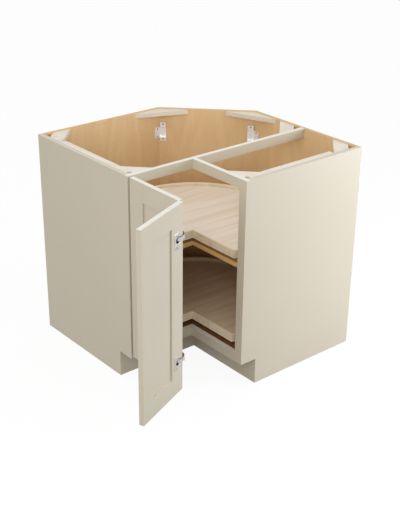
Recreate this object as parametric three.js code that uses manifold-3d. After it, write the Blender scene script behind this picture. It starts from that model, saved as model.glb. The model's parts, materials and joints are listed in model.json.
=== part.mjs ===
// Corner carousel cabinet: a kitchen base unit for an inside corner, with a folding two-leaf
// door and two turning pie-cut trays. Millimetres, +Z up. The origin is on the floor, on the
// axis that both trays turn about. +X and +Y point at the two walls of the room's corner, and
// the door faces the corner of the notch, towards -X -Y.
import * as THREE from 'three';
import { mergeVertices } from 'three/addons/utils/BufferGeometryUtils.js';
import ManifoldModule from 'manifold-3d';

const wasm = await ManifoldModule();
wasm.setup();

// ---------------------------------------------------------------- driving dimensions
const CABINET_HEIGHT = 876.3;     // floor to the underside of the worktop
const CABINET_DEPTH = 609.6;      // from each wall to the face frame's front
const NOTCH = 304.8;              // each side of the notch for the door, from an end's outer face
const CLIPPED_CORNER = 304.8;     // leg of the corner that the diagonal back cuts off
const END_PANEL = 19.05;
const BACK_PANEL = 12.7;
const FLOOR_BOARD = 12.7;
const FRAME_THICKNESS = 19.05;    // face frame members, front to back
const FRAME_WIDTH = 38.1;         // face frame stiles and rails, across
const TOE_HEIGHT = 111.1;         // floor to the underside of the bottom rails
const TOE_DEPTH = 76.2;           // how far the toe boards stand back from the face frame
const TOE_BOARD = 12.7;
const SHELF_TOP = 523.5;          // top of the fixed shelf under the upper tray
const SHELF_BOARD = 18.0;
const BEARER_LENGTH = 400.0;      // timber on edge under the floor, below the trays' axis
const BEARER_WIDTH = 38.1;
const BEARER_BEHIND_TOE = 17.25;  // from the toe boards' backs to the timber

const BLOCK_THICKNESS = 19.05;    // plywood gussets in the corners, for the worktop's screws
const REAR_BLOCK_LEG = 126.0;
const REAR_BLOCK_TIP = 43.0;      // cut off the tip that points into the corner
const REAR_BLOCK_DROP = 4.0;      // tops of the rear gussets below the frame's top
const BLOCK_SPACING = 26.49;      // from the brace's gusset to the diagonal's next to it
const FRONT_BLOCK_LEG = 111.0;
const FRONT_BLOCK_DROP = 0.8;
const BLOCK_HOLE_RADIUS = 10.0;
const BLOCK_HOLE_INSET = 14.0;    // hole centre, from the end panel and from the face frame
const CLEAT_WIDTH = 25.4;
const CLEAT_HEIGHT = 38.1;

const BRACKET_METAL = 2.0;        // folded steel brackets of the diagonal back
const BRACKET_WING = 25.0;        // along the wall's back panel
const BRACKET_WING_DROP = 86.3;   // wing's top below the cabinet's top
const BRACKET_WING_HEIGHT = 49.0;
const BRACKET_WING_CHAMFER = 6.0;
const BRACKET_PLATE = 30.5;       // along the diagonal panel
const BRACKET_PLATE_BELOW = 13.0; // how far the plate reaches below and above the wing
const BRACKET_PLATE_ABOVE = 22.5;
const BRACKET_PLATE_SHOULDER = 4.0; // from the fold to where the plate is at its full height
const BRACKET_HOLE_RADIUS = 2.5;
const BRACKET_HOLE_FROM_FOLD = 10.3;
const BRACKET_HOLE_FROM_END = 7.5;
const BRACKET_EAR_HOLE_FROM_END = 8.0;

const TRAY_END_GAP = 40.95;       // from a tray's rim to the end panels' inner faces
const TRAY_BACK_GAP = 86.8;       // from a tray's rim to the diagonal panel's inner face
const TRAY_SETBACK = 16.6;        // sides of the pie cut, behind the face frame's front
const TRAY_LIFT = { upper: 15.0, lower: 26.3 }; // underside of a tray above the board below it
const TRAY_DECK = 19.05;
const TRAY_RIM_HEIGHT = 33.8;
const TRAY_RIM = 9.5;
const BEARING_INNER_RADIUS = 55.0; // ring bearing that carries a tray
const BEARING_OUTER_RADIUS = 75.0;
const BALL_RADIUS = 2.2;
const TRAY_ARC_STEPS = 100;
const RING_STEPS = 60;
const BALL_RING_SIDES = 8;

const DOOR_TOP_MARGIN = 2.4;      // door below the face frame's top
const DOOR_BOTTOM_MARGIN = 12.2;  // door above the face frame's bottom
const DOOR_END_MARGIN = 3.2;      // closed leaves, from the end panels' outer faces
const BUMPER_GAP = 2.05;          // closed leaves, in front of the face frame
const FOLD_HALF_GAP = 0.25;       // from the fold's axis to each leaf's front and edge
const LEAF_THICKNESS = 19.05;
const LEAF_MEMBER = 76.2;         // width of a leaf's stiles and rails
const LEAF_PANEL = 6.35;
const LEAF_PANEL_IN = 9.0;        // how far the panel enters its groove
const PIVOT_INSET = 6.65;         // stile hinges' pivot, from the first leaf's front and edge
const DOOR_OPEN_DEG = 90.0;       // how far the door stands open as modelled
const FOLD_OPEN_DEG = 22.4;       // how far the fold stands past its closed right angle

const HINGE_FROM_LEAF_END = 131.0; // hinge centres, from a leaf's top and bottom
const CUP_RADIUS = 17.5;
const CUP_DEPTH = 11.5;
const CUP_WALL = 2.0;
const CUP_COLLAR = 1.5;           // flange's collar, outside the cup
const STILE_CUP_FROM_EDGE = 24.0;
const FOLD_CUP_FROM_EDGE = 32.75;
const FLANGE_THICKNESS = 1.2;
const FLANGE_WIDTH = 30.0;
const FLANGE_HEIGHT = 62.0;
const FLANGE_OFFSET = 12.0;       // flange centre past the cup centre, away from the leaf's edge
const FLANGE_CHAMFER = 7.0;
const ARM_METAL = 2.5;
const STILE_ARM_HEIGHT = 10.0;
const STILE_PLATE_HEIGHT = 40.0;
const STILE_PLATE_INSET = 1.5;    // from the face frame's front and back
const FOLD_ARM_HEIGHT = 14.0;
const FOLD_PLATE_HEIGHT = 24.0;
const FOLD_PLATE_LENGTH = 55.0;
const FOLD_PLATE_END = 6.0;       // plate's end, back from the fold's axis
const FOLD_ARM_FLAT_END = 15.0;   // where the arm leaves its plate, back from the fold's axis
const FOLD_ARM_CORNER = 6.0;      // arm's outer bends, past the corners of the two leaves
const FOLD_ARM_LIFT = 3.15;       // arm over the second leaf's flange, from its seat
const FOLD_ARM_DIP_START = 17.5;  // where the arm turns down into the cup, along the second leaf
const FOLD_ARM_TIP = 30.0;
const FOLD_ARM_DIP = 5.85;        // arm's tip below its seat, in the cup
const CIRCLE_STEPS = 32;

const CLEARANCE = 0.3;            // between pieces that are fitted, screwed on or turned

// ---------------------------------------------------------------- sizes that follow
const WALL_RUN = NOTCH + CABINET_DEPTH;            // along each wall, to an end's outer face
const BACK_INSIDE = WALL_RUN - BACK_PANEL;
const FRAME_BACK = NOTCH + FRAME_THICKNESS;
const TOE_FRONT = NOTCH + TOE_DEPTH;
const TOE_BACK = TOE_FRONT + TOE_BOARD;
const RAIL_BOTTOM = CABINET_HEIGHT - FRAME_WIDTH;  // underside of the top rails
const FLOOR_TOP = TOE_HEIGHT + FRAME_WIDTH;        // flush with the bottom rails
const FLOOR_BOTTOM = FLOOR_TOP - FLOOR_BOARD;
const CLIP_START = WALL_RUN - CLIPPED_CORNER;
const DIAGONAL_INSIDE = WALL_RUN + CLIP_START - BACK_PANEL * Math.SQRT2; // x + y on its inner face
const CLIP_START_INSIDE = DIAGONAL_INSIDE - BACK_INSIDE;
const DIAGONAL_BLOCK_LEG = CLIP_START_INSIDE - BLOCK_SPACING - FRAME_BACK - REAR_BLOCK_LEG;

// The trays' axis stands where the rims keep both gaps, to the end panels and to the diagonal.
const AXIS_FROM_END = (DIAGONAL_INSIDE / Math.SQRT2 + END_PANEL + TRAY_END_GAP - TRAY_BACK_GAP)
  / (1 + Math.SQRT2);
const TRAY_RADIUS = AXIS_FROM_END - END_PANEL - TRAY_END_GAP;
const TRAY_NOTCH = AXIS_FROM_END - NOTCH - TRAY_SETBACK; // from the axis to the pie cut's sides
const SUPPORT_TOPS = { upper: SHELF_TOP, lower: FLOOR_TOP };

const DOOR_BOTTOM = TOE_HEIGHT + DOOR_BOTTOM_MARGIN;
const DOOR_TOP = CABINET_HEIGHT - DOOR_TOP_MARGIN;
const DOOR_FRONT = NOTCH - BUMPER_GAP - LEAF_THICKNESS;
const LEAF_WIDTH = DOOR_FRONT - 2 * FOLD_HALF_GAP - DOOR_END_MARGIN;
const PIVOT = [DOOR_END_MARGIN + PIVOT_INSET, DOOR_FRONT + PIVOT_INSET];
const FOLD_FROM_PIVOT = [
  DOOR_FRONT - FOLD_HALF_GAP - PIVOT[0],
  DOOR_FRONT - FOLD_HALF_GAP - PIVOT[1],
];
const HINGE_HEIGHTS = {
  upper: DOOR_TOP - HINGE_FROM_LEAF_END,
  lower: DOOR_BOTTOM + HINGE_FROM_LEAF_END,
};

// ---------------------------------------------------------------- finishes
const finish = (color, roughness, metalness = 0) =>
  new THREE.MeshStandardMaterial({ color, roughness, metalness });
const paint = finish(0xd8d1bf, 0.45);
const birch = finish(0xc69f70, 0.55);
const shelfPly = finish(0xaf8755, 0.6);
const blockPly = finish(0xe2d6c4, 0.7);
const maple = finish(0xdecebc, 0.5);
const rimPly = finish(0xb4a087, 0.6);
const nickel = finish(0xb9b6b0, 0.35, 0.9);
const zincSteel = finish(0xc8beb6, 0.45, 0.7);
const darkSteel = finish(0x77716a, 0.5, 0.8);

// ---------------------------------------------------------------- shape helpers
const root = new THREE.Group();
const cabinet = new THREE.Group(); // measured from the outer faces of the two end panels
cabinet.position.set(-AXIS_FROM_END, -AXIS_FROM_END, 0);
root.add(cabinet);

function add(parent, name, geometry, material) {
  const mesh = new THREE.Mesh(geometry, material);
  mesh.name = name;
  parent.add(mesh);
  return mesh;
}

// A plan outline, and any holes in it, drawn up from height low to height high.
function prism(outline, low, high, holes = []) {
  const toPoints = (corners) => corners.map(([x, y]) => new THREE.Vector2(x, y));
  const shape = new THREE.Shape(toPoints(outline));
  for (const hole of holes) shape.holes.push(new THREE.Path(toPoints(hole)));
  const geometry = new THREE.ExtrudeGeometry(shape, { depth: 1, bevelEnabled: false });
  const place = geometry.attributes.position;
  for (let i = 0; i < place.count; i++) place.setZ(i, place.getZ(i) < 0.5 ? low : high);
  return geometry;
}

// The same solid with each corner moved by a function of its three coordinates.
function moved(geometry, where) {
  const place = geometry.attributes.position;
  for (let i = 0; i < place.count; i++) {
    place.setXYZ(i, ...where(place.getX(i), place.getY(i), place.getZ(i)));
  }
  geometry.computeVertexNormals();
  return geometry;
}

// The same solid with x and y changed over, for the cabinet's other side.
function mirrored(geometry) {
  const place = geometry.attributes.position;
  const at = (i) => [place.getX(i), place.getY(i), place.getZ(i)];
  for (let i = 0; i < place.count; i += 3) {
    const [second, third] = [at(i + 1), at(i + 2)];
    place.setXYZ(i + 1, ...third);
    place.setXYZ(i + 2, ...second);
  }
  return moved(geometry, (x, y, z) => [y, x, z]);
}

// Solids drawn along x from an outline in y and z, and along y from one in x and z.
const alongX = (outline, low, high) => moved(prism(outline, low, high), (a, b, c) => [c, a, b]);
const alongY = (outline, low, high) =>
  moved(prism(outline.map(([x, z]) => [z, x]), low, high), (a, b, c) => [b, c, a]);
const rectangle = (x0, y0, x1, y1) => [[x0, y0], [x1, y0], [x1, y1], [x0, y1]];
const board = (x0, y0, z0, x1, y1, z1) => prism(rectangle(x0, y0, x1, y1), z0, z1);

function addPair(name, makeGeometry, material) {
  add(cabinet, `${name}_left`, makeGeometry(), material);
  add(cabinet, `${name}_right`, mirrored(makeGeometry()), material);
}

function arc(cx, cy, radius, from, to, steps) {
  const points = [];
  for (let i = 0; i <= steps; i++) {
    const turn = from + ((to - from) * i) / steps;
    points.push([cx + radius * Math.cos(turn), cy + radius * Math.sin(turn)]);
  }
  return points;
}

const circle = (cx, cy, radius) =>
  arc(cx, cy, radius, 0, 2 * Math.PI, CIRCLE_STEPS).slice(0, -1);

// The outline of a bent metal strip, from the corners of its middle line and its thickness.
function strip(middle, thickness) {
  const heading = (from, to) => Math.atan2(to[1] - from[1], to[0] - from[0]);
  const last = middle.length - 1;
  const side = (sign) => middle.map((point, i) => {
    const into = heading(middle[Math.max(i - 1, 0)], middle[Math.max(i, 1)]);
    const outOf = heading(middle[Math.min(i, last - 1)], middle[Math.min(i + 1, last)]);
    const bend = Math.atan2(Math.sin(outOf - into), Math.cos(outOf - into));
    const out = (sign * thickness) / 2 / Math.cos(bend / 2);
    const across = into + bend / 2 + Math.PI / 2;
    return [point[0] + out * Math.cos(across), point[1] + out * Math.sin(across)];
  });
  return [...side(1), ...side(-1).reverse()];
}

function toSolid(geometry) {
  const bare = geometry.clone();
  bare.deleteAttribute('normal');
  bare.deleteAttribute('uv');
  const merged = mergeVertices(bare, 1e-4);
  return new wasm.Manifold(new wasm.Mesh({
    numProp: 3,
    vertProperties: new Float32Array(merged.attributes.position.array),
    triVerts: new Uint32Array(merged.index.array),
  }));
}

function toGeometry(solid) {
  const mesh = solid.getMesh();
  const geometry = new THREE.BufferGeometry();
  geometry.setAttribute('position', new THREE.BufferAttribute(mesh.vertProperties, 3));
  geometry.setIndex(new THREE.BufferAttribute(mesh.triVerts, 1));
  const flat = geometry.toNonIndexed();
  flat.computeVertexNormals();
  return flat;
}

const joined = (...parts) => parts.map(toSolid).reduce((a, b) => a.add(b));
const cut = (solid, ...tools) => tools.map(toSolid).reduce((a, b) => a.subtract(b), solid);

// ---------------------------------------------------------------- cabinet: panels
const endProfile = [
  [FRAME_BACK, TOE_HEIGHT], [TOE_FRONT, TOE_HEIGHT], [TOE_FRONT, 0],
  [WALL_RUN, 0], [WALL_RUN, CABINET_HEIGHT], [FRAME_BACK, CABINET_HEIGHT],
];
addPair('end_panel', () => alongX(endProfile, 0, END_PANEL), paint);

const backOutline = [
  [END_PANEL, BACK_INSIDE], [CLIP_START_INSIDE, BACK_INSIDE],
  [CLIP_START, WALL_RUN], [END_PANEL, WALL_RUN],
];
addPair('back_panel', () => prism(backOutline, 0, CABINET_HEIGHT), birch);
const diagonalOutline = [
  [CLIP_START_INSIDE, BACK_INSIDE], [BACK_INSIDE, CLIP_START_INSIDE],
  [WALL_RUN, CLIP_START], [CLIP_START, WALL_RUN],
];
add(cabinet, 'back_panel_diagonal', prism(diagonalOutline, 0, CABINET_HEIGHT), birch);

const insideOutline = [
  [END_PANEL, FRAME_BACK], [FRAME_BACK, FRAME_BACK], [FRAME_BACK, END_PANEL],
  [BACK_INSIDE, END_PANEL], [BACK_INSIDE, CLIP_START_INSIDE],
  [CLIP_START_INSIDE, BACK_INSIDE], [END_PANEL, BACK_INSIDE],
];
add(cabinet, 'cabinet_floor', prism(insideOutline, FLOOR_BOTTOM, FLOOR_TOP), birch);
add(cabinet, 'fixed_shelf', prism(insideOutline, SHELF_TOP - SHELF_BOARD, SHELF_TOP), shelfPly);

// ---------------------------------------------------------------- cabinet: face frame
addPair('face_stile',
  () => board(0, NOTCH, TOE_HEIGHT, FRAME_WIDTH, FRAME_BACK, CABINET_HEIGHT), paint);
add(cabinet, 'bottom_rail_left',
  board(FRAME_WIDTH, NOTCH, TOE_HEIGHT, FRAME_BACK, FRAME_BACK, FLOOR_TOP), paint);
add(cabinet, 'bottom_rail_right',
  board(NOTCH, FRAME_WIDTH, TOE_HEIGHT, FRAME_BACK, NOTCH, FLOOR_TOP), paint);
// The left top rail runs on as a brace, past the notch's corner to the far back panel.
add(cabinet, 'top_rail_left_brace',
  board(FRAME_WIDTH, NOTCH, RAIL_BOTTOM, BACK_INSIDE, FRAME_BACK, CABINET_HEIGHT), paint);
add(cabinet, 'top_rail_right',
  board(NOTCH, FRAME_WIDTH, RAIL_BOTTOM, FRAME_BACK, NOTCH, CABINET_HEIGHT), paint);

// ---------------------------------------------------------------- cabinet: below the floor
add(cabinet, 'toe_board_left',
  board(END_PANEL, TOE_FRONT, 0, TOE_BACK, TOE_BACK, FLOOR_BOTTOM), paint);
add(cabinet, 'toe_board_right',
  board(TOE_FRONT, END_PANEL, 0, TOE_BACK, TOE_FRONT, FLOOR_BOTTOM), paint);
const bearerFront = TOE_BACK + BEARER_BEHIND_TOE;
add(cabinet, 'floor_bearer', board(AXIS_FROM_END - BEARER_LENGTH / 2, bearerFront, 0,
  AXIS_FROM_END + BEARER_LENGTH / 2, bearerFront + BEARER_WIDTH, FLOOR_BOTTOM), blockPly);

// ---------------------------------------------------------------- cabinet: gussets and cleats
const gusset = (outline, drop, holes) =>
  prism(outline, CABINET_HEIGHT - drop - BLOCK_THICKNESS, CABINET_HEIGHT - drop, holes);

// The front gusset's tip is cut square where the cleat starts.
const frontBlockEnd = FRAME_BACK + FRONT_BLOCK_LEG - CLEAT_WIDTH;
const frontGusset = [
  [END_PANEL, FRAME_BACK], [END_PANEL + FRONT_BLOCK_LEG, FRAME_BACK],
  [END_PANEL + CLEAT_WIDTH, frontBlockEnd], [END_PANEL, frontBlockEnd],
];
const frontHole = circle(
  END_PANEL + BLOCK_HOLE_INSET, FRAME_BACK + BLOCK_HOLE_INSET, BLOCK_HOLE_RADIUS);
addPair('corner_block_front', () => gusset(frontGusset, FRONT_BLOCK_DROP, [frontHole]), blockPly);

const rearBlockStart = BACK_INSIDE - REAR_BLOCK_LEG;
const rearGusset = [
  [END_PANEL, rearBlockStart], [END_PANEL + REAR_BLOCK_LEG, BACK_INSIDE],
  [END_PANEL + REAR_BLOCK_TIP, BACK_INSIDE], [END_PANEL, BACK_INSIDE - REAR_BLOCK_TIP],
];
addPair('corner_block_rear', () => gusset(rearGusset, REAR_BLOCK_DROP), blockPly);

const diagonalReach = DIAGONAL_BLOCK_LEG / Math.SQRT2;
const diagonalGusset = [
  [CLIP_START_INSIDE - DIAGONAL_BLOCK_LEG, BACK_INSIDE - CLEARANCE],
  [CLIP_START_INSIDE + diagonalReach - CLEARANCE, BACK_INSIDE - diagonalReach - CLEARANCE],
  [CLIP_START_INSIDE - CLEARANCE, BACK_INSIDE - CLEARANCE],
];
addPair('corner_block_diagonal', () => gusset(diagonalGusset, REAR_BLOCK_DROP), blockPly);

const braceGusset = [
  [rearBlockStart, FRAME_BACK], [BACK_INSIDE - REAR_BLOCK_TIP, FRAME_BACK],
  [BACK_INSIDE, FRAME_BACK + REAR_BLOCK_TIP], [BACK_INSIDE, FRAME_BACK + REAR_BLOCK_LEG],
];
add(cabinet, 'corner_block_brace', gusset(braceGusset, REAR_BLOCK_DROP), blockPly);

addPair('top_cleat', () => board(END_PANEL, frontBlockEnd, CABINET_HEIGHT - CLEAT_HEIGHT,
  END_PANEL + CLEAT_WIDTH, rearBlockStart, CABINET_HEIGHT), blockPly);

// ---------------------------------------------------------------- cabinet: folded brackets
// A chamfered wing lies on the wall's back panel, and a taller plate on the diagonal panel.
function cornerBracket() {
  const offset = CLEARANCE + BRACKET_METAL / 2;
  const fold = [CLIP_START_INSIDE - offset * Math.tan(Math.PI / 8), BACK_INSIDE - offset];
  const alongPlate = (distance) => [
    fold[0] + distance / Math.SQRT2, fold[1] - distance / Math.SQRT2,
  ];
  const wingEnd = fold[0] - BRACKET_WING;
  const high = CABINET_HEIGHT - BRACKET_WING_DROP;
  const low = high - BRACKET_WING_HEIGHT;
  const folded = prism(
    strip([[wingEnd, fold[1]], fold, alongPlate(BRACKET_PLATE)], BRACKET_METAL), low, high);
  const [plateLow, plateHigh] = [low - BRACKET_PLATE_BELOW, high + BRACKET_PLATE_ABOVE];
  const plate = prism(
    strip([alongPlate(BRACKET_PLATE_SHOULDER), alongPlate(BRACKET_PLATE)], BRACKET_METAL),
    plateLow, plateHigh);

  // cuts through the wing: both chamfers and both screw holes
  const through = (outline) =>
    alongY(outline, fold[1] - BRACKET_METAL, fold[1] + BRACKET_METAL);
  const chamfer = (edge, inward) => through([
    [wingEnd - 1, edge + inward * (BRACKET_WING_CHAMFER + 1)], [wingEnd - 1, edge - inward],
    [wingEnd + BRACKET_WING_CHAMFER + 1, edge - inward],
  ]);
  const holeX = fold[0] - BRACKET_HOLE_FROM_FOLD;
  const hole = (z) => through(circle(holeX, z, BRACKET_HOLE_RADIUS));

  // one more screw hole in each of the plate's ears, above and below the wing
  const ear = alongPlate((BRACKET_PLATE_SHOULDER + BRACKET_PLATE) / 2);
  const earHole = (z) => moved(
    alongY(circle(0, z, BRACKET_HOLE_RADIUS), -BRACKET_METAL, BRACKET_METAL),
    (along, out, up) => [
      ear[0] + (along + out) / Math.SQRT2, ear[1] + (out - along) / Math.SQRT2, up,
    ]);
  return toGeometry(cut(joined(folded, plate), chamfer(low, 1), chamfer(high, -1),
    hole(low + BRACKET_HOLE_FROM_END), hole(high - BRACKET_HOLE_FROM_END),
    earHole(plateLow + BRACKET_EAR_HOLE_FROM_END),
    earHole(plateHigh - BRACKET_EAR_HOLE_FROM_END)));
}
addPair('corner_bracket', cornerBracket, zincSteel);

// ---------------------------------------------------------------- carousels
// An arc about the axis, from one side of the pie cut to the other.
function trayArc(radius, notch) {
  const side = Math.asin(notch / radius);
  return arc(0, 0, radius, -Math.PI / 2 - side, Math.PI + side, TRAY_ARC_STEPS);
}

function ring(low, high) {
  const profile = [
    [BEARING_INNER_RADIUS, low], [BEARING_OUTER_RADIUS, low],
    [BEARING_OUTER_RADIUS, high], [BEARING_INNER_RADIUS, high], [BEARING_INNER_RADIUS, low],
  ];
  const geometry = new THREE.LatheGeometry(
    profile.map(([r, z]) => new THREE.Vector2(r, z)), RING_STEPS);
  return geometry.rotateX(Math.PI / 2);
}

function carousel(level) {
  const support = SUPPORT_TOPS[level];
  const bottom = support + TRAY_LIFT[level];
  const rimTop = bottom + TRAY_RIM_HEIGHT;
  const rimInside = TRAY_RADIUS - TRAY_RIM;
  const notchInside = TRAY_NOTCH - TRAY_RIM;

  // deck, inside the rims
  const deckNotch = notchInside - CLEARANCE;
  const deck = [...trayArc(rimInside - CLEARANCE, deckNotch), [-deckNotch, -deckNotch]];
  add(root, `${level}_tray_deck`, prism(deck, bottom, bottom + TRAY_DECK), maple);

  // bent rim round the curve
  const bentRim = [
    ...trayArc(TRAY_RADIUS, TRAY_NOTCH), ...trayArc(rimInside, TRAY_NOTCH).reverse(),
  ];
  add(root, `${level}_tray_curved_rim`, prism(bentRim, bottom, rimTop), rimPly);

  // straight rims along the pie cut, fitted inside the bent one and butted at its corner
  const reach = (across) => -Math.sqrt((rimInside - CLEARANCE) ** 2 - across ** 2);
  const straightRim = (inner) => prism([
    [reach(TRAY_NOTCH), -TRAY_NOTCH], [inner, -TRAY_NOTCH],
    [inner, -notchInside], [reach(notchInside), -notchInside],
  ], bottom, rimTop);
  add(root, `${level}_tray_notch_rim_left`, straightRim(-TRAY_NOTCH - CLEARANCE), rimPly);
  add(root, `${level}_tray_notch_rim_right`, mirrored(straightRim(-notchInside)), rimPly);

  // ring bearing: a fixed race, a ring of balls and a turning race
  const middle = (bottom + support) / 2;
  const race = BALL_RADIUS + CLEARANCE;
  add(root, `${level}_bearing_base`, ring(support, middle - race), darkSteel);
  add(root, `${level}_bearing_top`, ring(middle + race, bottom), darkSteel);
  const balls = new THREE.TorusGeometry(
    (BEARING_INNER_RADIUS + BEARING_OUTER_RADIUS) / 2, BALL_RADIUS, BALL_RING_SIDES, RING_STEPS);
  add(root, `${level}_bearing_ball_ring`, balls, nickel).position.z = middle;
}
carousel('upper');
carousel('lower');

// ---------------------------------------------------------------- door leaves
// A leaf is drawn with x across it from its hinged edge, and y from its front to its back.
const cupBore = (x, back, z) =>
  alongY(circle(x, z, CUP_RADIUS + CLEARANCE), back - CUP_DEPTH - CLEARANCE, back + 1);

function doorLeaf(parent, name, edge, front, cupX) {
  const back = front + LEAF_THICKNESS;
  const far = edge + LEAF_WIDTH;
  const [nearInside, farInside] = [edge + LEAF_MEMBER, far - LEAF_MEMBER];
  const middle = (front + back) / 2;
  const slotFront = middle - LEAF_PANEL / 2 - CLEARANCE;
  const slotBack = middle + LEAF_PANEL / 2 + CLEARANCE;
  const slotDepth = LEAF_PANEL_IN + CLEARANCE;

  // stiles of the full height, each grooved along its inner edge
  const stile = (outer, inner, slotEnd) => prism([
    [outer, front], [inner, front], [inner, slotFront], [slotEnd, slotFront],
    [slotEnd, slotBack], [inner, slotBack], [inner, back], [outer, back],
  ], DOOR_BOTTOM, DOOR_TOP);
  const bores = Object.values(HINGE_HEIGHTS).map((z) => cupBore(cupX, back, z));
  const hinged = toSolid(stile(edge, nearInside, nearInside - slotDepth));
  add(parent, `${name}_hinge_stile`, toGeometry(cut(hinged, ...bores)), paint);
  add(parent, `${name}_far_stile`, stile(far, farInside, farInside + slotDepth), paint);

  // rails between the stiles, grooved for the panel, with tongues in the stiles' grooves
  const panelFront = middle - LEAF_PANEL / 2;
  const panelBack = middle + LEAF_PANEL / 2;
  const rail = (outer, inner, slotEnd) => toGeometry(joined(
    alongX([
      [front, outer], [front, inner], [slotFront, inner], [slotFront, slotEnd],
      [slotBack, slotEnd], [slotBack, inner], [back, inner], [back, outer],
    ], nearInside + CLEARANCE, farInside - CLEARANCE),
    board(nearInside - LEAF_PANEL_IN, panelFront, Math.min(outer, slotEnd),
      farInside + LEAF_PANEL_IN, panelBack, Math.max(outer, slotEnd)),
  ));
  const [topInside, bottomInside] = [DOOR_TOP - LEAF_MEMBER, DOOR_BOTTOM + LEAF_MEMBER];
  add(parent, `${name}_top_rail`, rail(DOOR_TOP, topInside, topInside + slotDepth), paint);
  add(parent, `${name}_bottom_rail`,
    rail(DOOR_BOTTOM, bottomInside, bottomInside - slotDepth), paint);

  // loose panel in the grooves
  add(parent, `${name}_panel`, board(
    nearInside - LEAF_PANEL_IN, panelFront, bottomInside - LEAF_PANEL_IN,
    farInside + LEAF_PANEL_IN, panelBack, topInside + LEAF_PANEL_IN), paint);
}

// A hinge cup: a bowl let into the leaf, with a screwed flange over the leaf's back.
function hingeCup(x, back, z) {
  const seat = back + CLEARANCE;
  const top = seat + FLANGE_THICKNESS;
  const bowl = alongY(circle(x, z, CUP_RADIUS), back - CUP_DEPTH, seat + FLANGE_THICKNESS / 2);
  const collar = alongY(circle(x, z, CUP_RADIUS + CUP_COLLAR), seat, top);
  const middle = x + FLANGE_OFFSET;
  const [half, tall] = [FLANGE_WIDTH / 2, FLANGE_HEIGHT / 2];
  const flange = alongY([
    [middle - half, z - tall], [middle + half - FLANGE_CHAMFER, z - tall],
    [middle + half, z - tall + FLANGE_CHAMFER], [middle + half, z + tall - FLANGE_CHAMFER],
    [middle + half - FLANGE_CHAMFER, z + tall], [middle - half, z + tall],
  ], seat, top);
  const hollow = alongY(
    circle(x, z, CUP_RADIUS - CUP_WALL), back - CUP_DEPTH + CUP_WALL, top + 1);
  return toGeometry(cut(joined(bowl, collar, flange), hollow));
}

// First leaf: turns about the pivot of its stile hinges. As modelled it stands open.
const firstLeaf = new THREE.Group();
firstLeaf.position.set(...PIVOT, 0);
firstLeaf.rotation.z = -THREE.MathUtils.degToRad(DOOR_OPEN_DEG);
cabinet.add(firstLeaf);
const stileCupX = STILE_CUP_FROM_EDGE - PIVOT_INSET;
doorLeaf(firstLeaf, 'leaf_1', -PIVOT_INSET, -PIVOT_INSET, stileCupX);

// The fold lies where the fronts of the two leaves meet, and the second leaf turns about it.
const fold = new THREE.Group();
fold.position.set(...FOLD_FROM_PIVOT, 0);
firstLeaf.add(fold);
const foldOpen = THREE.MathUtils.degToRad(FOLD_OPEN_DEG);
const secondLeaf = new THREE.Group();
secondLeaf.rotation.z = foldOpen - Math.PI / 2;
fold.add(secondLeaf);
const foldCupX = FOLD_HALF_GAP + FOLD_CUP_FROM_EDGE;
doorLeaf(secondLeaf, 'leaf_2', FOLD_HALF_GAP, FOLD_HALF_GAP, foldCupX);

// ---------------------------------------------------------------- hinges
// Arm on the face frame's stile, reaching forward into the cup of the closed leaf.
function stileHingeArm(z) {
  const seat = FRAME_WIDTH + CLEARANCE;
  const middle = seat + ARM_METAL / 2;
  const [plateFront, plateBack] = [NOTCH + STILE_PLATE_INSET, FRAME_BACK - STILE_PLATE_INSET];
  // the foot just clears the leaf's edge, and its tip the leaf's back, when the door is open
  const foot = PIVOT[1] + PIVOT_INSET + CLEARANCE + ARM_METAL / 2;
  const tip = PIVOT[0] + LEAF_THICKNESS - PIVOT_INSET + CLEARANCE;
  const arm = prism(
    strip([[middle, plateBack], [middle, foot], [tip, foot]], ARM_METAL),
    z - STILE_ARM_HEIGHT / 2, z + STILE_ARM_HEIGHT / 2);
  const plate = board(seat, plateFront, z - STILE_PLATE_HEIGHT / 2,
    seat + ARM_METAL, plateBack, z + STILE_PLATE_HEIGHT / 2);
  return toGeometry(joined(arm, plate));
}

// Arm on the first leaf's back, bent round the fold into the cup of the second leaf.
function foldHingeArm(z) {
  const seat = FOLD_HALF_GAP + LEAF_THICKNESS + CLEARANCE; // both leaves' backs, from the fold
  const line = seat + ARM_METAL / 2;
  const fromSecond = (along, out) => [
    out * Math.cos(foldOpen) + along * Math.sin(foldOpen),
    out * Math.sin(foldOpen) - along * Math.cos(foldOpen),
  ];
  const lifted = line + FOLD_ARM_LIFT;
  const middle = [
    [-FOLD_PLATE_LENGTH, line], [-FOLD_ARM_FLAT_END, line],
    [FOLD_ARM_CORNER, line + ARM_METAL / 2], fromSecond(-FOLD_ARM_CORNER, lifted),
    fromSecond(FOLD_ARM_DIP_START, lifted), fromSecond(FOLD_ARM_TIP, line - FOLD_ARM_DIP),
  ];
  const arm = prism(strip(middle, ARM_METAL), z - FOLD_ARM_HEIGHT / 2, z + FOLD_ARM_HEIGHT / 2);
  const plate = board(-FOLD_PLATE_LENGTH, seat, z - FOLD_PLATE_HEIGHT / 2,
    -FOLD_PLATE_END, seat + ARM_METAL, z + FOLD_PLATE_HEIGHT / 2);
  return toGeometry(joined(arm, plate));
}

for (const [level, z] of Object.entries(HINGE_HEIGHTS)) {
  const firstBack = LEAF_THICKNESS - PIVOT_INSET;
  add(firstLeaf, `stile_hinge_cup_${level}`, hingeCup(stileCupX, firstBack, z), nickel);
  const secondBack = FOLD_HALF_GAP + LEAF_THICKNESS;
  add(secondLeaf, `fold_hinge_cup_${level}`, hingeCup(foldCupX, secondBack, z), nickel);
  add(cabinet, `stile_hinge_arm_${level}`, stileHingeArm(z), nickel);
  add(fold, `fold_hinge_arm_${level}`, foldHingeArm(z), nickel);
}

export default root;
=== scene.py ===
"""A corner carousel cabinet, dressed for a picture: paint, plywood, maple and hinge hardware."""

import json
from math import asin, atan2, cos, hypot, pi, radians, sin, sqrt, tan

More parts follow.
